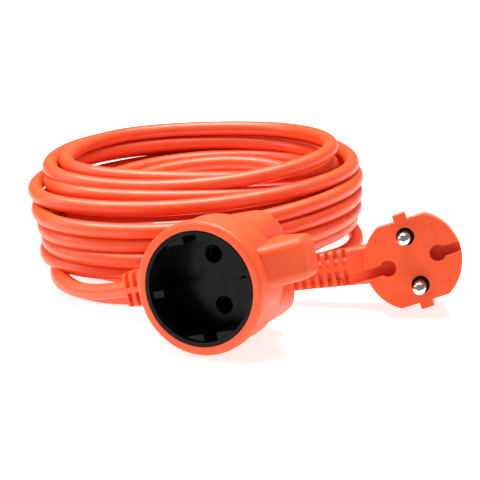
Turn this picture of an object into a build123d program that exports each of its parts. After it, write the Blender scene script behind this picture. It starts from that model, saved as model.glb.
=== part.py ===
# Moulded two-wire extension cord: a round socket with a black insert, a contour plug with two
# round pins, and the cord wound into a loose oval coil behind them.  Millimetres, +Z up.
# The origin is on the floor, under the middle of the socket, and the socket's mouth faces -Y.
import os
from math import pi, radians, tan

from build123d import *

os.makedirs("parts", exist_ok=True)

# ---- cord
cord_d = 6.1
sheath_r = cord_d / 2
core_r = 1.35
core_gap = 0.2

# ---- pins and their pitch, shared by the plug and the socket
pin_r = 2.4
shank_r = 2.2
pin_tip_fillet = 1.8
pin_pitch = 19.0
pin_length = 19.0
pole_y = pin_pitch / 2
poles = (("line", 1), ("neutral", -1))

# ---- socket: local x towards the finger grip, y along the line of pin holes, z out of the mouth
lip_r = 24.4
lip_depth = 4.6
barrel_r = 23.7
barrel_depth = 22.0
block_width = 35.5
block_height = 40.5
block_corner = 9.6
socket_depth = 43.5
insert_r = 21.1
well_r = 19.5
well_depth = 17.5
floor_thickness = 3.0
rim_clear = 1.4
ledge_y = 16.5
ledge_slot = 5.2
rib_width = 2.4
rib_x = 14.7
hole_r = 2.8
hole_chamfer = 0.6
tower_width = 13.0
tower_height = 32.0
tower_corner = 3.0
tower_depth = 39.0
chamber_r = 4.1
cover_thickness = 2.0
sleeve_bore_r = 2.46
sleeve_r = 3.6
sleeve_depth = 37.6
sleeve_slit = 1.0
entry_depth = 30.0
crimp_r = 2.0
crimp_bore_r = 0.9
crimp_end = 10.0
crimp_wall = 0.6
core_bend = 2.6
socket_sheath_x = -22.0
relief_end_x = -42.5
relief_root_x = -14.0
relief_root = (15.0, 14.5)
relief_end = (12.8, 12.6)
grip_thickness = 15.5
grip_shift = 2.5
grip_corner = 4.0
grip_edge = 3.5
grip_points = ((12, -8), (23.2, -6.5), (34.8, -19.5), (34.2, -31), (17, -41), (10, -41))

# ---- plug: local x away from the arm, y along the line of pins, z out of the face
face_r = 18.5
flat_y = 16.0
tab_width = 4.8
contour_depth = 13.0
plug_depth = 26.0
back_width = 25.0
back_height = 27.0
keyhole_x = 9.8
keyhole_r = 3.1
keyhole_slot = 3.7
keyhole_depth = 6.5
collar_r = 3.45
collar_recess = 1.2
bridge_top = 3.0
bridge_bottom = 9.0
bridge_width = 8.0
bridge_height = 27.0
arm_depth = 11.5
arm_turn = 9.5
arm_offset = 2.0
arm_root_x = -8.0
arm_length = 43.0
arm_root = (15.6, 13.0)
arm_end = (12.0, 11.0)
plug_sheath_start = 8.0
plug_crimp_end = 6.5
plug_crimp_bore = 4.5
plug_core_bend = 1.8

# ---- ribs of both strain reliefs
slot_width = 1.7
rib_pitch = 3.3
ridge_width = 2.0
web_thickness = 4.4
relief_core_r = 4.3

# ---- places on the floor
lean = 6.0
socket_roll = 15.8
mouth_point = (4.3, -21.4, 26.2)
plug_point = (59.0, 51.6, 21.8)
plug_yaw = 16.7
plug_lift = 14.7
plug_roll = 20.0
coil_point = (-44.0, 84.0)
coil_turn = 57.0
coil_outer = (76.5, 55.5)
coil_inner = (48.0, 31.0)
coil_height = 47.5
coil_edge = 6.0

mouth = Plane(Location(mouth_point, (90 - lean, 0, 0)) * Rotation(0, 0, socket_roll))
face = Plane(
    Location(plug_point, (0, 0, plug_yaw)) * Rotation(90 - plug_lift, 0, 0) * Rotation(0, 0, plug_roll)
)
relief_axis = Plane(mouth.location * Location((0, 0, -entry_depth), (0, -90, 0)))
arm_axis = Plane(
    face.location
    * Location((arm_root_x, arm_offset, -arm_depth), (0, 0, -arm_turn))
    * Location((0, 0, 0), (0, -90, 0))
)
mouth_side = Plane(mouth.location * Location((0, grip_shift, 0), (90, 0, 0)))


def corner_radii(points):
    """Arc radii of a cord's route: 0.45 of the shorter run over the tangent of half the turn."""
    radii = []
    for before, corner, after in zip(points, points[1:], points[2:]):
        run_in = Vector(*corner) - Vector(*before)
        run_out = Vector(*after) - Vector(*corner)
        half_turn = radians(run_in.get_angle(run_out)) / 2
        radii.append(0.45 * min(run_in.length, run_out.length) / tan(half_turn))
    return radii


# ---- slots between the ribs: they leave a web, a middle ridge and a round core for the cord
with BuildPart(relief_axis.offset(-relief_end_x - 4 * rib_pitch)) as relief_slots:
    for step in range(4):
        with Locations((0, 0, step * rib_pitch + rib_pitch / 2)):
            Box(2 * relief_root[0], 2 * relief_root[1], slot_width)
    Box(web_thickness, 3 * relief_root[1], 60, mode=Mode.SUBTRACT)
    Box(3 * relief_root[0], ridge_width, 60, mode=Mode.SUBTRACT)
    Cylinder(relief_core_r, 60, mode=Mode.SUBTRACT)

arm_rib_count = 8
with BuildPart(arm_axis.offset(arm_length - arm_rib_count * rib_pitch)) as arm_slots:
    for step in range(arm_rib_count):
        with Locations((0, 0, step * rib_pitch + rib_pitch / 3)):
            Box(2 * arm_root[1], 2 * arm_root[0], slot_width)
    Box(web_thickness, 3 * arm_root[0], 90, mode=Mode.SUBTRACT)
    Box(3 * arm_root[1], ridge_width, 90, mode=Mode.SUBTRACT)
    Cylinder(relief_core_r, 90, mode=Mode.SUBTRACT)

# ---- socket insert: a black cup with the well in front and the contact tower behind
with BuildPart() as socket_insert:
    with BuildSketch(mouth.offset(-well_depth - floor_thickness)):
        Circle(insert_r)
    extrude(amount=well_depth + floor_thickness)
    with BuildSketch(mouth.offset(-tower_depth)):
        RectangleRounded(tower_width, tower_height, tower_corner)
    extrude(amount=tower_depth - well_depth - floor_thickness)
    front = socket_insert.faces().sort_by(Axis(mouth.origin, mouth.z_dir))[-1]
    fillet(front.edges(), 0.6)
    with BuildSketch(mouth):
        Circle(well_r)
    extrude(amount=-rim_clear, mode=Mode.SUBTRACT)
    with BuildSketch(mouth.offset(-rim_clear)):
        Circle(well_r)
        with Locations((0, ledge_y + 5), (0, -ledge_y - 5)):
            Rectangle(2 * well_r, 10, mode=Mode.SUBTRACT)
        Rectangle(ledge_slot, 2 * well_r - 0.4)
        with Locations((rib_x + 5, 0), (-rib_x - 5, 0)):
            Rectangle(10, rib_width, mode=Mode.SUBTRACT)
    extrude(amount=rim_clear - well_depth, mode=Mode.SUBTRACT)
    with BuildSketch(mouth.offset(-well_depth - floor_thickness)):
        with GridLocations(0, pin_pitch, 1, 2):
            Circle(hole_r)
    extrude(amount=floor_thickness, mode=Mode.SUBTRACT)
    with BuildSketch(mouth.offset(-tower_depth)):
        with GridLocations(0, pin_pitch, 1, 2):
            Circle(chamber_r)
    extrude(amount=tower_depth - well_depth - floor_thickness, mode=Mode.SUBTRACT)
    with BuildSketch(mouth.offset(-tower_depth)):
        with Locations((-tower_width / 2, pole_y), (-tower_width / 2, -pole_y)):
            Rectangle(tower_width, 2 * crimp_r + 0.6)
    extrude(amount=tower_depth - entry_depth + crimp_r + 0.3, mode=Mode.SUBTRACT)
    hole_edges = socket_insert.edges().filter_by(GeomType.CIRCLE)
    hole_edges = hole_edges.filter_by(lambda edge: abs(edge.radius - hole_r) < 0.01)
    chamfer(hole_edges.sort_by(Axis(mouth.origin, mouth.z_dir))[-2:], hole_chamfer)
socket_insert.part.label = "socket_insert"
export_step(socket_insert.part, "parts/socket_insert.step")

# ---- cover over the contact chambers
with BuildPart() as socket_rear_cover:
    with BuildSketch(mouth.offset(-tower_depth - cover_thickness)):
        RectangleRounded(tower_width, tower_height, tower_corner)
    extrude(amount=cover_thickness)
    with BuildSketch(mouth.offset(-tower_depth)):
        with GridLocations(0, pin_pitch, 1, 2):
            Circle(chamber_r - 0.2)
    extrude(amount=0.8)
socket_rear_cover.part.label = "socket_rear_cover"
export_step(socket_rear_cover.part, "parts/socket_rear_cover.step")

# ---- what the socket's overmould is moulded round, each in the overmould's way
socket_buried = []
for pole, side in poles:
    barrel_end = Plane(
        mouth.location * Location((-crimp_end, side * pole_y, -entry_depth), (0, 90, 0))
    )
    with BuildPart() as contact:
        with BuildSketch(mouth.offset(-sleeve_depth)):
            with Locations((0, side * pole_y)):
                Circle(sleeve_r)
        extrude(amount=sleeve_depth - well_depth - floor_thickness - 0.3)
        with BuildSketch(barrel_end):
            Circle(crimp_r)
        extrude(amount=crimp_end)
        with BuildSketch(barrel_end):
            Circle(crimp_bore_r)
        extrude(amount=crimp_end - sleeve_r - crimp_wall, mode=Mode.SUBTRACT)
        with BuildSketch(mouth.offset(-sleeve_depth)):
            with Locations((0, side * pole_y)):
                Circle(sleeve_bore_r)
            with Locations((sleeve_r, side * pole_y)):
                Rectangle(sleeve_r, sleeve_slit)
        extrude(amount=sleeve_depth - well_depth, mode=Mode.SUBTRACT)
    contact.part.label = f"socket_contact_{pole}"
    export_step(contact.part, f"parts/socket_contact_{pole}.step")

    with BuildPart() as conductor:
        with BuildSketch(barrel_end):
            Circle(crimp_bore_r - 0.1)
        extrude(amount=crimp_end - sleeve_r - 1)
    conductor.part.label = f"socket_conductor_{pole}"
    export_step(conductor.part, f"parts/socket_conductor_{pole}.step")

    wire = Plane(mouth.location * Location((0, 0, -entry_depth)))
    core_route = [
        (-crimp_end, side * pole_y),
        (-crimp_end - 3.5, side * pole_y),
        (socket_sheath_x + 3.5, side * (core_r + core_gap / 2)),
        (socket_sheath_x, side * (core_r + core_gap / 2)),
    ]
    with BuildPart() as core:
        with BuildLine(wire) as core_line:
            FilletPolyline(*core_route, radius=core_bend)
        with BuildSketch(Plane(mouth.location * Location((*core_route[0], -entry_depth), (0, -90, 0)))):
            Circle(core_r)
        sweep(path=core_line.wire())
    core.part.label = f"socket_core_{pole}"
    export_step(core.part, f"parts/socket_core_{pole}.step")

    with BuildPart() as barrel_room:
        with BuildSketch(barrel_end):
            Circle(crimp_r)
        extrude(amount=crimp_end)
    socket_buried += [core.part, barrel_room.part]

with BuildPart() as socket_sheath:
    with BuildSketch(relief_axis.offset(-socket_sheath_x)):
        Circle(sheath_r)
    extrude(amount=socket_sheath_x - relief_end_x)
socket_sheath.part.label = "socket_sheath"
export_step(socket_sheath.part, "parts/socket_sheath.step")
socket_buried.append(socket_sheath.part)

# ---- finger grip at the side of the socket away from the cord
with BuildPart() as grip:
    with BuildSketch(mouth_side) as grip_outline:
        with BuildLine():
            Polyline(*grip_points, close=True)
        make_face()
        fillet(grip_outline.vertices().sort_by(Axis.X)[-4:], grip_corner)
    extrude(amount=grip_thickness / 2, both=True)
    fillet(grip.faces().sort_by(Axis(mouth.origin, mouth.y_dir))[-1].edges(), grip_edge)
    fillet(grip.faces().sort_by(Axis(mouth.origin, mouth.y_dir))[0].edges(), grip_edge)

# ---- socket overmould: lip, barrel, rear block, finger grip and strain relief
with BuildPart() as socket_overmould:
    with BuildSketch(mouth.offset(-barrel_depth)):
        Circle(barrel_r)
    extrude(amount=barrel_depth - lip_depth)
    rear_rim = socket_overmould.faces().sort_by(Axis(mouth.origin, mouth.z_dir))[0].edges()
    fillet(rear_rim, 2.0)
    with BuildSketch(mouth.offset(-lip_depth)):
        Circle(lip_r)
    extrude(amount=lip_depth)
    front_rim = socket_overmould.faces().sort_by(Axis(mouth.origin, mouth.z_dir))[-1].edges()
    fillet(front_rim, 1.8)
    with BuildSketch(mouth.offset(-socket_depth)):
        RectangleRounded(block_width, block_height, block_corner)
    extrude(amount=socket_depth - barrel_depth + 4)
    rear = socket_overmould.faces().sort_by(Axis(mouth.origin, mouth.z_dir))[0]
    fillet(rear.edges(), 3.0)
    add(grip.part)
    with BuildSketch(relief_axis.offset(-relief_root_x)):
        RectangleRounded(relief_root[1], relief_root[0], 3)
    with BuildSketch(relief_axis.offset(-relief_end_x)):
        RectangleRounded(relief_end[1], relief_end[0], 2)
    loft()
    add(relief_slots.part, mode=Mode.SUBTRACT)
    with BuildSketch(mouth.offset(-well_depth - floor_thickness)):
        Circle(insert_r)
    extrude(amount=well_depth + floor_thickness + 1, mode=Mode.SUBTRACT)
    with BuildSketch(mouth.offset(-tower_depth - cover_thickness)):
        RectangleRounded(tower_width, tower_height, tower_corner)
    extrude(amount=tower_depth + cover_thickness - well_depth, mode=Mode.SUBTRACT)
    for buried in socket_buried:
        add(buried, mode=Mode.SUBTRACT)
socket_overmould.part.label = "socket_overmould"
export_step(socket_overmould.part, "parts/socket_overmould.step")

# ---- plug pins, with a flange under the bridge and a crimp barrel that points along the arm
plug_buried = []
arm_wire = Plane(face.location * Location((0, 0, -arm_depth)))
for pole, side in poles:
    barrel_end = Plane(
        face.location * Location((-plug_crimp_end, side * pole_y, -arm_depth), (0, 90, 0))
    )
    with BuildPart() as pin:
        with BuildSketch(face.offset(-arm_depth)):
            with Locations((0, side * pole_y)):
                Circle(shank_r)
        extrude(amount=arm_depth - collar_recess)
        with BuildSketch(face.offset(-collar_recess)):
            with Locations((0, side * pole_y)):
                Circle(pin_r)
        extrude(amount=collar_recess + pin_length)
        tip = pin.faces().sort_by(Axis(face.origin, face.z_dir))[-1]
        fillet(tip.edges(), pin_tip_fillet)
        with BuildSketch(barrel_end):
            Circle(crimp_r)
        extrude(amount=plug_crimp_end)
        with BuildSketch(barrel_end):
            Circle(crimp_bore_r)
        extrude(amount=plug_crimp_bore, mode=Mode.SUBTRACT)
    pin.part.label = f"plug_pin_{pole}"
    export_step(pin.part, f"parts/plug_pin_{pole}.step")

    with BuildPart() as conductor:
        with BuildSketch(barrel_end):
            Circle(crimp_bore_r - 0.1)
        extrude(amount=plug_crimp_bore - 0.3)
    conductor.part.label = f"plug_conductor_{pole}"
    export_step(conductor.part, f"parts/plug_conductor_{pole}.step")

    # the sheath's end stands arm_root_x + plug_sheath_start along the turned arm
    sheath_face = Plane(
        arm_axis.location * Location((0, side * (core_r + core_gap / 2), plug_sheath_start - 0.3))
    )
    sheath_local = face.to_local_coords(sheath_face.origin)
    core_route = [
        (-plug_crimp_end, side * pole_y),
        (-plug_crimp_end - 3.5, side * pole_y),
        (sheath_local.X + 2.5, sheath_local.Y - 0.4),
        (sheath_local.X, sheath_local.Y),
    ]
    with BuildPart() as core:
        with BuildLine(arm_wire) as core_line:
            FilletPolyline(*core_route, radius=plug_core_bend)
        with BuildSketch(Plane(face.location * Location((*core_route[0], -arm_depth), (0, -90, 0)))):
            Circle(core_r)
        sweep(path=core_line.wire())
    core.part.label = f"plug_core_{pole}"
    export_step(core.part, f"parts/plug_core_{pole}.step")

    with BuildPart() as barrel_room:
        with BuildSketch(barrel_end):
            Circle(crimp_r)
        extrude(amount=plug_crimp_end)
    plug_buried += [core.part, pin.part, barrel_room.part]

with BuildPart() as plug_sheath:
    with BuildSketch(arm_axis.offset(plug_sheath_start)):
        Circle(sheath_r)
    extrude(amount=arm_length - plug_sheath_start)
plug_sheath.part.label = "plug_sheath"
export_step(plug_sheath.part, "parts/plug_sheath.step")
plug_buried.append(plug_sheath.part)

# ---- black bridge that holds the two pins, with a collar round each
with BuildPart() as plug_bridge:
    with BuildSketch(face.offset(-bridge_bottom)):
        RectangleRounded(bridge_width, bridge_height, 3)
    extrude(amount=bridge_bottom - bridge_top)
    with BuildSketch(face.offset(-bridge_top)):
        with GridLocations(0, pin_pitch, 1, 2):
            Circle(collar_r)
    extrude(amount=bridge_top - collar_recess)
    with BuildSketch(face.offset(-bridge_bottom)):
        with GridLocations(0, pin_pitch, 1, 2):
            Circle(shank_r)
    extrude(amount=bridge_bottom, mode=Mode.SUBTRACT)
plug_bridge.part.label = "plug_bridge"
export_step(plug_bridge.part, "parts/plug_bridge.step")

# ---- plug overmould: contour face, rounded back, and the ribbed arm
with BuildPart() as plug_overmould:
    with BuildSketch(face.offset(-contour_depth)):
        Circle(face_r)
        with Locations((0, flat_y + 5), (0, -flat_y - 5)):
            Rectangle(2 * face_r, 10, mode=Mode.SUBTRACT)
        Rectangle(tab_width, 2 * face_r)
    extrude(amount=contour_depth)
    chamfer(plug_overmould.faces().sort_by(Axis(face.origin, face.z_dir))[-1].edges(), 0.35)
    with BuildSketch(face.offset(-contour_depth)):
        RectangleRounded(2 * flat_y, 2 * flat_y - 1.5, 12)
    with BuildSketch(face.offset(-plug_depth)):
        RectangleRounded(back_width, back_height, 9)
    loft()
    back = plug_overmould.faces().sort_by(Axis(face.origin, face.z_dir))[0]
    fillet(back.edges(), 4.0)
    with BuildSketch(arm_axis):
        RectangleRounded(arm_root[1], arm_root[0], 2)
    with BuildSketch(arm_axis.offset(arm_length)):
        RectangleRounded(arm_end[1], arm_end[0], 2)
    loft()
    add(arm_slots.part, mode=Mode.SUBTRACT)
    with BuildSketch(face):
        for side in (1, -1):
            with Locations((side * keyhole_x, 0)):
                Circle(keyhole_r)
            with Locations((side * (keyhole_x + face_r / 2), 0)):
                Rectangle(face_r, keyhole_slot)
    extrude(amount=-keyhole_depth, mode=Mode.SUBTRACT)
    with BuildSketch(face.offset(-bridge_top)):
        with GridLocations(0, pin_pitch, 1, 2):
            Circle(collar_r)
    extrude(amount=bridge_top, mode=Mode.SUBTRACT)
    with BuildSketch(face.offset(-bridge_bottom)):
        RectangleRounded(bridge_width, bridge_height, 3)
    extrude(amount=bridge_bottom - bridge_top, mode=Mode.SUBTRACT)
    for buried in plug_buried:
        add(buried, mode=Mode.SUBTRACT)
plug_overmould.part.label = "plug_overmould"
export_step(plug_overmould.part, "parts/plug_overmould.step")

# ---- the cord's loose stretches, and the coil as one closed oval ring
exit_run = 9.0
socket_exit = relief_axis.offset(-relief_end_x)
plug_exit = arm_axis.offset(arm_length)
socket_lead_route = [
    (-56.0, 7.5, 6.9),
    (-67.9, 10.9, 6.9),
    (-77.1, 20.5, 7.6),
]
plug_lead_route = [
    (-14.0, 36.1, 6.0),
    (-26.4, 28.3, 3.9),
    (-39.4, 20.3, 3.1),
    (-53.1, 15.9, 3.1),
    (-66.7, 18.0, 3.1),
    (-78.0, 26.2, 3.1),
]
lead_tubes = []
for lead, start, route in (
    ("socket", socket_exit, socket_lead_route),
    ("plug", plug_exit, plug_lead_route),
):
    first = start.origin
    second = first + start.z_dir * exit_run
    points = [tuple(first), tuple(second)] + route
    radii = corner_radii(points)
    with BuildPart() as tube:
        with BuildLine() as lead_line:
            FilletPolyline(*points, radius=radii)
        with BuildSketch(start):
            Circle(sheath_r)
        sweep(path=lead_line.wire())
    tube.part.label = f"cord_{lead}_lead"
    export_step(tube.part, f"parts/cord_{lead}_lead.step")
    length = lead_line.wire().length
    print(lead, "lead: length", round(length, 1), "radii", [round(radius, 1) for radius in radii])
    print("   start", [round(value, 2) for value in points[0]])
    print("   volume over section times length", round(tube.part.volume / (pi * sheath_r**2 * length), 4))
    lead_tubes.append(tube.part)

with BuildPart() as cord_coil:
    with BuildSketch(Plane.XY):
        with Locations(Location((*coil_point, 0), (0, 0, coil_turn))):
            Ellipse(*coil_outer)
            Ellipse(*coil_inner, mode=Mode.SUBTRACT)
    extrude(amount=coil_height)
    fillet(cord_coil.faces().sort_by(Axis.Z)[-1].edges(), coil_edge)
    for tube in lead_tubes:
        add(tube, mode=Mode.SUBTRACT)
cord_coil.part.label = "cord_coil"
export_step(cord_coil.part, "parts/cord_coil.step")
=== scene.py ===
"""An orange moulded extension cord: a round black-lined socket, a contour plug, and the cord in a coil."""

import bpy
import math
import mathutils
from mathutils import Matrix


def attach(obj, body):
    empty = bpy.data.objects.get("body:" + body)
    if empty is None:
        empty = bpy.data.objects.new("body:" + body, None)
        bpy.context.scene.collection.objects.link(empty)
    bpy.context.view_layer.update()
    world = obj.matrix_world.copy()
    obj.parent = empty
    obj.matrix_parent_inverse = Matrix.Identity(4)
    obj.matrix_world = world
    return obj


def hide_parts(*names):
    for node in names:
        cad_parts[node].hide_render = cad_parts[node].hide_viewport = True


Vector = mathutils.Vector
MM = 0.001

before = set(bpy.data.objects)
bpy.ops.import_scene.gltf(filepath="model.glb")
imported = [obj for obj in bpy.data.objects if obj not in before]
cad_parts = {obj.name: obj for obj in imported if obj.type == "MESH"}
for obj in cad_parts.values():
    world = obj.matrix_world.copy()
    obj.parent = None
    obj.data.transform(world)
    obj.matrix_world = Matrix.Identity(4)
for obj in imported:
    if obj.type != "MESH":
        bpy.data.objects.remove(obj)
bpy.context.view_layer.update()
scene = bpy.context.scene
scene.view_settings.view_transform = "Standard"

# ---- driving sizes, in millimetres as in the part
CORD_D = 6.1
SOCKET_EXIT = Vector((-36.594, 7.226, 11.556))
SOCKET_EXIT_DIR = Vector((-0.9622, -0.0285, -0.2708))
PLUG_EXIT = Vector((8.085, 45.635, 10.473))
PLUG_EXIT_DIR = Vector((-0.9285, -0.3268, -0.1763))
EXIT_RUN = 9.0
SOCKET_LEAD = [(-56.0, 7.5, 6.9), (-67.9, 10.9, 6.9), (-77.1, 20.5, 7.6), (-82.3, 33.5, 8.9)]
PLUG_LEAD = [
    (-14.0, 36.1, 6.0),
    (-26.4, 28.3, 3.9),
    (-39.4, 20.3, 3.1),
    (-53.1, 15.9, 3.1),
    (-66.7, 18.0, 3.1),
    (-78.0, 26.2, 3.1),
    (-86.1, 38.4, 3.1),
    (-91.1, 53.2, 3.1),
    (-91.9, 69.8, 3.1),
    (-86.7, 85.2, 3.1),
    (-74.4, 94.5, 3.1),
    (-58.4, 94.0, 3.1),
    (-42.4, 86.3, 3.1),
    (-26.6, 79.1, 3.1),
    (-9.6, 77.9, 3.1),
    (3.7, 86.1, 3.1),
    (12.0, 99.6, 3.1),
    (13.1, 114.3, 3.4),
]

# ---- the coil's own frame: u to the right, v away from the socket, both from its middle
COIL_MIDDLE = Vector((-45.5, 87.0, 0.0))
COIL_YAW = math.radians(24)
POINTS_PER_TURN = 24
FIRST_TURN_SKIP = 7
LAST_TURN_KEEP = 19
SMOOTH_PASSES = 3
SMOOTH_GROWTH = 1.052
BACK_BULGE = 15.0
BULGE_ROUNDING = 0.06
BULGE_OFFSET = 0.245
SHEAR_LIMIT = 20.0
HEIGHT_LAG = 0.04
BLEND_START = 0.66
BLEND_SPAN = 0.28
COIL_END_HEIGHT = 4.0

# Each turn, clockwise from above: left (u, v, z), front (v, z), right (u, v, z), back (v, z).
TURNS = [
    ((-53.0, -28, 9.6), (-49.0, 9.6), (57.0, 2, 9.3), (51.0, 9.3)),
    ((-45.5, -21, 3.6), (-42.5, 3.6), (49.5, 3, 13.8), (45.0, 10.0)),
    ((-53.0, -28, 15.7), (-49.0, 15.6), (56.0, 3, 15.4), (52.0, 15.4)),
    ((-45.5, -20, 25.0), (-42.0, 17.5), (49.5, 3, 24.0), (45.0, 27.0)),
    ((-54.0, -28, 21.8), (-49.0, 21.8), (54.0, 3, 30.5), (52.0, 21.4)),
    ((-53.0, -26, 28.5), (-43.0, 30.4), (54.0, 5, 32.0), (50.0, 28.0)),
    ((-60.5, -18, 36.7), (-42.5, 37.0), (56.5, 6, 35.2), (51.5, 33.8)),
    ((-55.0, -8, 42.3), (-33.0, 41.9), (50.5, 12, 45.0), (51.0, 40.0)),
    ((-61.5, -13, 41.6), (-39.0, 39.4), (62.5, 11, 36.6), (59.0, 36.6)),
    ((-66.5, -23, 35.0), (-48.5, 34.0), (65.2, 9, 31.3), (61.5, 30.0)),
    ((-64.7, -29, 28.9), (-58.5, 28.0), (64.8, 6, 25.4), (60.0, 25.0)),
    ((-62.5, -30, 22.9), (-59.0, 22.4), (64.8, 5, 19.6), (59.0, 19.2)),
    ((-61.0, -30, 17.6), (-61.5, 17.2), (63.8, 5, 13.6), (59.0, 13.4)),
    ((-61.7, -30, 12.2), (-59.0, 11.4), (62.0, 12, 5.0), (59.5, 7.6)),
]


# ---- cord
def turn_place(turn, angle):
    """Where one turn runs at an angle from its right end: a leaning oval, fuller at the back."""
    (left_u, left_v, _), (front_v, _), (right_u, right_v, _), (back_v, _) = turn
    across, along = math.cos(angle), math.sin(angle)
    middle_v = (front_v + back_v) / 2
    shear = (right_v - left_v) / 2
    depth = math.sqrt(((back_v - front_v) / 2) ** 2 - min(shear, SHEAR_LIMIT) ** 2)
    bulge = BACK_BULGE * (math.sqrt(along**2 + BULGE_ROUNDING) - BULGE_OFFSET)
    ends = across**2 * (bulge - middle_v + (right_v + left_v) / 2)
    u = (left_u + right_u) / 2 + (right_u - left_u) / 2 * across
    return Vector((u, middle_v + depth * along + shear * across + ends))


def turn_heights():
    """Heights at the front, left, back and right of each turn, in the order the cord passes them."""
    heights = []
    for left, front, right, back in TURNS:
        heights += [front[1], left[2], back[1], right[2]]
    return heights + [COIL_END_HEIGHT]


def eased(value):
    """A smooth step from 0 to 1."""
    value = min(max(value, 0.0), 1.0)
    return value * value * (3 - 2 * value)


def coil_points():
    """The coil's points: each turn blends into the next one at its right, then all are smoothed."""
    heights = turn_heights()
    points = []
    for number, turn in enumerate(TURNS):
        following = TURNS[min(number + 1, len(TURNS) - 1)]
        first = FIRST_TURN_SKIP if number == 0 else 0
        last = LAST_TURN_KEEP if number == len(TURNS) - 1 else POINTS_PER_TURN
        for step in range(first, last):
            share = step / POINTS_PER_TURN
            angle = 1.5 * math.pi - 2 * math.pi * share
            blend = eased((share - BLEND_START) / BLEND_SPAN)
            place = turn_place(turn, angle).lerp(turn_place(following, angle), blend)
            quarter = max(4 * (number + share - HEIGHT_LAG), 0.0)
            knot = int(quarter)
            rise = math.sin((quarter - knot) * math.pi / 2) ** 2
            z = heights[knot] * (1 - rise) + heights[knot + 1] * rise
            points.append(Vector((place.x, place.y, z)))
    for _ in range(SMOOTH_PASSES):
        inner = [(a + 2 * b + c) / 4 for a, b, c in zip(points, points[1:], points[2:])]
        points = [points[0]] + inner + [points[-1]]
    turned = mathutils.Matrix.Rotation(COIL_YAW, 3, "Z")
    grown = [Vector((p.x * SMOOTH_GROWTH, p.y * SMOOTH_GROWTH, p.z)) for p in points]
    return [COIL_MIDDLE + turned @ p for p in grown]


def cord_route():
    """The whole cord in metres, from the socket's relief through the coil to the plug's arm."""
    socket_end = [SOCKET_EXIT, SOCKET_EXIT + SOCKET_EXIT_DIR * EXIT_RUN]
    socket_end += [Vector(p) for p in SOCKET_LEAD]
    plug_end = [PLUG_EXIT, PLUG_EXIT + PLUG_EXIT_DIR * EXIT_RUN]
    plug_end += [Vector(p) for p in PLUG_LEAD]
    return [p * MM for p in socket_end + coil_points() + plug_end[::-1]]


def make_cord(material):
    curve = bpy.data.curves.new("cord", "CURVE")
    curve.dimensions = "3D"
    curve.bevel_depth = CORD_D / 2 * MM
    curve.bevel_resolution = 6
    curve.resolution_u = 4
    spline = curve.splines.new("NURBS")
    route = cord_route()
    spline.points.add(len(route) - 1)
    for point, place in zip(spline.points, route):
        point.co = (*place, 1.0)
    spline.order_u = 3
    spline.use_endpoint_u = True
    cord = bpy.data.objects.new("cord", curve)
    scene.collection.objects.link(cord)
    curve.materials.append(material)
    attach(cord, "root")
    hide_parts("cord_coil", "cord_socket_lead", "cord_plug_lead")


# ---- generic raised marks on the plug's face
MARK_PLACES = [(x, y) for x in (-9.8, 9.8) for y in (-10.3, 10.3)]
MARK_RADIUS = 1.9
MARK_LINE = 0.16
MARK_RING_STEPS = 40
MARK_LINE_STEPS = 8
PLUG_POINT = Vector((59.0, 51.6, 21.8))
PLUG_YAW = math.radians(16.7)
PLUG_TILT = math.radians(75.3)
PLUG_ROLL = math.radians(20.0)
PLUG_FACE = (
    mathutils.Matrix.Translation(PLUG_POINT * MM)
    @ mathutils.Matrix.Rotation(PLUG_YAW, 4, "Z")
    @ mathutils.Matrix.Rotation(PLUG_TILT, 4, "X")
    @ mathutils.Matrix.Rotation(PLUG_ROLL, 4, "Z")
)


def make_face_marks(material):
    """A plain ring with a bar across it in each quarter of the face, moulded in relief."""
    for number, (x, y) in enumerate(MARK_PLACES, 1):
        bpy.ops.mesh.primitive_torus_add(
            major_radius=MARK_RADIUS * MM,
            minor_radius=MARK_LINE * MM,
            major_segments=MARK_RING_STEPS,
            minor_segments=MARK_LINE_STEPS,
        )
        ring = bpy.context.object
        bpy.ops.mesh.primitive_cylinder_add(
            radius=MARK_LINE * MM, depth=2 * MARK_RADIUS * MM, vertices=MARK_LINE_STEPS
        )
        bar = bpy.context.object
        bar.rotation_euler = (math.radians(90), 0, 0)
        bpy.context.view_layer.objects.active = ring
        bpy.ops.object.select_all(action="DESELECT")
        ring.select_set(True)
        bar.select_set(True)
        bpy.ops.object.join()
        ring.name = f"plug_face_mark_{number}"
        ring.matrix_world = PLUG_FACE @ mathutils.Matrix.Translation(Vector((x, y, 0)) * MM)
        ring.data.materials.append(material)
        bpy.ops.object.shade_smooth()
        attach(ring, "root")


# ---- materials: pattern scales in features per metre, bump depths in metres
DRIFT_SCALE = 70
GLOSS_SCALE = 260
WAVE_SCALE = 120
WAVE_DEPTH = 0.0006
WAVE_STRENGTH = 0.12
GRAIN_STRENGTH = 0.35
SOFT_RADIUS = (0.0016, 0.0005, 0.0002)
CLOUD_SCALE = 300
HANDLING_SCALE = 900
TURNING_SCALE = 2600
TURNING_STRETCH = (0.12, 1.0, 0.35)
TURNING_DEPTH = 0.00003
TURNING_STRENGTH = 0.25


def new_material(name):
    material = bpy.data.materials.new(name)
    material.use_nodes = True
    return material, material.node_tree.nodes, material.node_tree.links


def noise(nodes, links, scale, detail=3.0, stretch=(1, 1, 1)):
    """Noise laid over the object's own metres."""
    place = nodes.new("ShaderNodeTexCoord")
    mapping = nodes.new("ShaderNodeMapping")
    mapping.inputs["Scale"].default_value = stretch
    texture = nodes.new("ShaderNodeTexNoise")
    texture.inputs["Scale"].default_value = scale
    texture.inputs["Detail"].default_value = detail
    links.new(place.outputs["Object"], mapping.inputs["Vector"])
    links.new(mapping.outputs["Vector"], texture.inputs["Vector"])
    return texture.outputs["Fac"]


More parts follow.
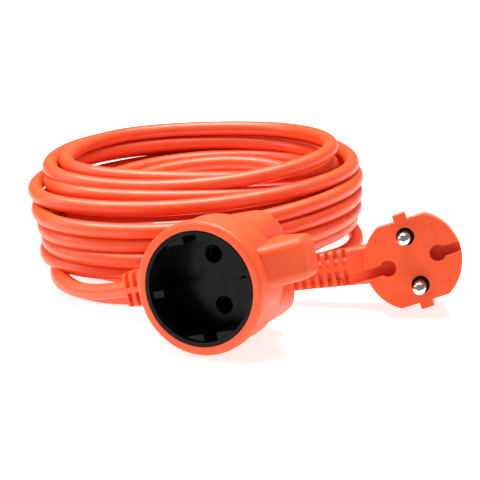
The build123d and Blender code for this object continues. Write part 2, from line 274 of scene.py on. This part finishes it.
def ramp(nodes, links, source, low, high, start=0.3, end=0.7):
    """Turns a 0 to 1 pattern into a run between two colours or two grey levels."""
    node = nodes.new("ShaderNodeValToRGB")
    node.color_ramp.elements[0].position = start
    node.color_ramp.elements[0].color = (*low, 1) if hasattr(low, "__len__") else (low, low, low, 1)
    node.color_ramp.elements[1].position = end
    node.color_ramp.elements[1].color = (*high, 1) if hasattr(high, "__len__") else (high, high, high, 1)
    links.new(source, node.inputs["Fac"])
    return node.outputs["Color"]


def bump(nodes, links, source, distance, strength, under=None):
    """A bump from a 0 to 1 pattern, on top of another bump if one is given."""
    node = nodes.new("ShaderNodeBump")
    node.inputs["Strength"].default_value = strength
    node.inputs["Distance"].default_value = distance
    links.new(source, node.inputs["Height"])
    if under is not None:
        links.new(under, node.inputs["Normal"])
    return node.outputs["Normal"]


def moulded(name, shade, tone, rough, grain, grain_depth, shine=0.5, soft=0.0):
    """Moulded plastic: slow tone drift, cloudy gloss, a fine grain and a slight waviness."""
    material, nodes, links = new_material(name)
    shader = nodes["Principled BSDF"]
    drift = noise(nodes, links, DRIFT_SCALE)
    links.new(ramp(nodes, links, drift, shade, tone), shader.inputs["Base Color"])
    gloss = noise(nodes, links, GLOSS_SCALE, 5)
    links.new(ramp(nodes, links, gloss, rough[0], rough[1]), shader.inputs["Roughness"])
    wave = bump(nodes, links, noise(nodes, links, WAVE_SCALE, 1), WAVE_DEPTH, WAVE_STRENGTH)
    fine = bump(nodes, links, noise(nodes, links, grain, 2), grain_depth, GRAIN_STRENGTH, wave)
    links.new(fine, shader.inputs["Normal"])
    shader.inputs["Specular IOR Level"].default_value = shine
    if soft:
        shader.inputs["Subsurface Weight"].default_value = soft
        shader.inputs["Subsurface Radius"].default_value = SOFT_RADIUS
        shader.inputs["Subsurface Scale"].default_value = 1.0
    return material


def metal(name, shade, tone, rough):
    """Bare or plated metal: fine turning marks round the length and cloudy handling marks."""
    material, nodes, links = new_material(name)
    shader = nodes["Principled BSDF"]
    shader.inputs["Metallic"].default_value = 1.0
    cloud = noise(nodes, links, CLOUD_SCALE, 4)
    links.new(ramp(nodes, links, cloud, shade, tone), shader.inputs["Base Color"])
    handling = noise(nodes, links, HANDLING_SCALE, 6)
    links.new(ramp(nodes, links, handling, rough[0], rough[1]), shader.inputs["Roughness"])
    turning = noise(nodes, links, TURNING_SCALE, 2, TURNING_STRETCH)
    links.new(bump(nodes, links, turning, TURNING_DEPTH, TURNING_STRENGTH), shader.inputs["Normal"])
    return material


def make_materials():
    """One material for each slot of the record."""
    return {
        "orange_pvc": moulded(
            "orange_pvc",
            (0.80, 0.078, 0.014),
            (0.88, 0.098, 0.020),
            (0.40, 0.54),
            grain=5200,
            grain_depth=0.00008,
            shine=0.45,
            soft=0.1,
        ),
        "orange_sheath": moulded(
            "orange_sheath",
            (0.80, 0.068, 0.006),
            (0.87, 0.085, 0.010),
            (0.36, 0.48),
            grain=3600,
            grain_depth=0.00003,
            shine=0.7,
            soft=0.05,
        ),
        "black_plastic": moulded(
            "black_plastic",
            (0.0025, 0.002, 0.0025),
            (0.005, 0.004, 0.005),
            (0.18, 0.3),
            grain=4200,
            grain_depth=0.00003,
            shine=0.12,
        ),
        "nickel": metal("nickel", (0.62, 0.60, 0.58), (0.80, 0.79, 0.77), (0.10, 0.20)),
        # the brass is darkened nearly to black: painted shade, so that the contacts deep in the pin holes
        # read as dark as the shade in those holes
        "brass": metal("brass", (0.035, 0.022, 0.009), (0.06, 0.04, 0.014), (0.45, 0.6)),
        "copper": metal("copper", (0.70, 0.28, 0.14), (0.86, 0.40, 0.22), (0.25, 0.4)),
        "brown_insulation": moulded(
            "brown_insulation",
            (0.085, 0.030, 0.012),
            (0.12, 0.045, 0.018),
            (0.35, 0.5),
            grain=4200,
            grain_depth=0.00003,
        ),
        "blue_insulation": moulded(
            "blue_insulation",
            (0.012, 0.06, 0.30),
            (0.02, 0.09, 0.40),
            (0.35, 0.5),
            grain=4200,
            grain_depth=0.00003,
        ),
    }


def dress_nodes(materials):
    """Each CAD node takes the material of the slot that the record gives it."""
    slots = {
        "socket_overmould": "orange_pvc",
        "plug_overmould": "orange_pvc",
        "socket_insert": "black_plastic",
        "socket_rear_cover": "black_plastic",
        "plug_bridge": "black_plastic",
        "socket_sheath": "orange_sheath",
        "plug_sheath": "orange_sheath",
    }
    for name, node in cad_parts.items():
        slot = slots.get(name)
        if slot is None and "pin" in name:
            slot = "nickel"
        if slot is None and "contact" in name:
            slot = "brass"
        if slot is None and "conductor" in name:
            slot = "copper"
        if slot is None and "core" in name:
            slot = "brown_insulation" if name.endswith("line") else "blue_insulation"
        if slot is None:
            slot = "orange_sheath"
        node.data.materials.clear()
        node.data.materials.append(materials[slot])


# ---- camera, light and floor
CAMERA_PLACE = (0.2750, -0.5933, 0.250)
CAMERA_TILT = math.radians(72)
CAMERA_YAW = math.radians(24)
LENS = 142.5
SENSOR = 36.0
WORLD_STRENGTH = 0.26
LIGHT_TARGET = (-0.02, 0.05, 0.02)
FLOOR_SIZE = 8
FLOOR_SCALE = 6
FLOOR_DARK = (0.70, 0.70, 0.70)
FLOOR_PALE = (0.72, 0.72, 0.72)
FLOOR_ROUGHNESS = 0.7
FLOOR_GLOW = 0.74


def make_camera():
    data = bpy.data.cameras.new("camera")
    data.lens = LENS
    data.sensor_width = SENSOR
    camera = bpy.data.objects.new("camera", data)
    camera.location = CAMERA_PLACE
    camera.rotation_euler = (CAMERA_TILT, 0, CAMERA_YAW)
    scene.collection.objects.link(camera)
    scene.camera = camera


def make_light(name, size, power, place, target):
    data = bpy.data.lights.new(name, "AREA")
    data.shape = "RECTANGLE"
    data.size, data.size_y = size
    data.energy = power
    light = bpy.data.objects.new(name, data)
    light.location = place
    light.rotation_euler = (Vector(target) - Vector(place)).to_track_quat("-Z", "Y").to_euler()
    scene.collection.objects.link(light)


def make_studio():
    """Soft light over a pale floor that glows a little, so that shadows stay faint."""
    world = bpy.data.worlds.new("studio")
    world.use_nodes = True
    world.node_tree.nodes["Background"].inputs["Color"].default_value = (1, 1, 1, 1)
    world.node_tree.nodes["Background"].inputs["Strength"].default_value = WORLD_STRENGTH
    scene.world = world
    make_light("overhead", (0.75, 0.45), 14.0, (-0.10, 0.16, 0.80), LIGHT_TARGET)
    make_light("left_window", (0.45, 0.45), 2.6, (-0.70, -0.45, 0.50), LIGHT_TARGET)
    bpy.ops.mesh.primitive_plane_add(size=FLOOR_SIZE)
    floor = bpy.context.object
    floor.name = "floor"
    material, nodes, links = new_material("pale_floor")
    shader = nodes["Principled BSDF"]
    tone = ramp(nodes, links, noise(nodes, links, FLOOR_SCALE), FLOOR_DARK, FLOOR_PALE)
    links.new(tone, shader.inputs["Base Color"])
    shader.inputs["Roughness"].default_value = FLOOR_ROUGHNESS
    shader.inputs["Emission Color"].default_value = (1, 1, 1, 1)
    shader.inputs["Emission Strength"].default_value = FLOOR_GLOW
    floor.data.materials.append(material)


# ---- the whole scene
make_camera()
materials = make_materials()
dress_nodes(materials)
make_cord(materials["orange_sheath"])
make_face_marks(materials["orange_pvc"])
make_studio()
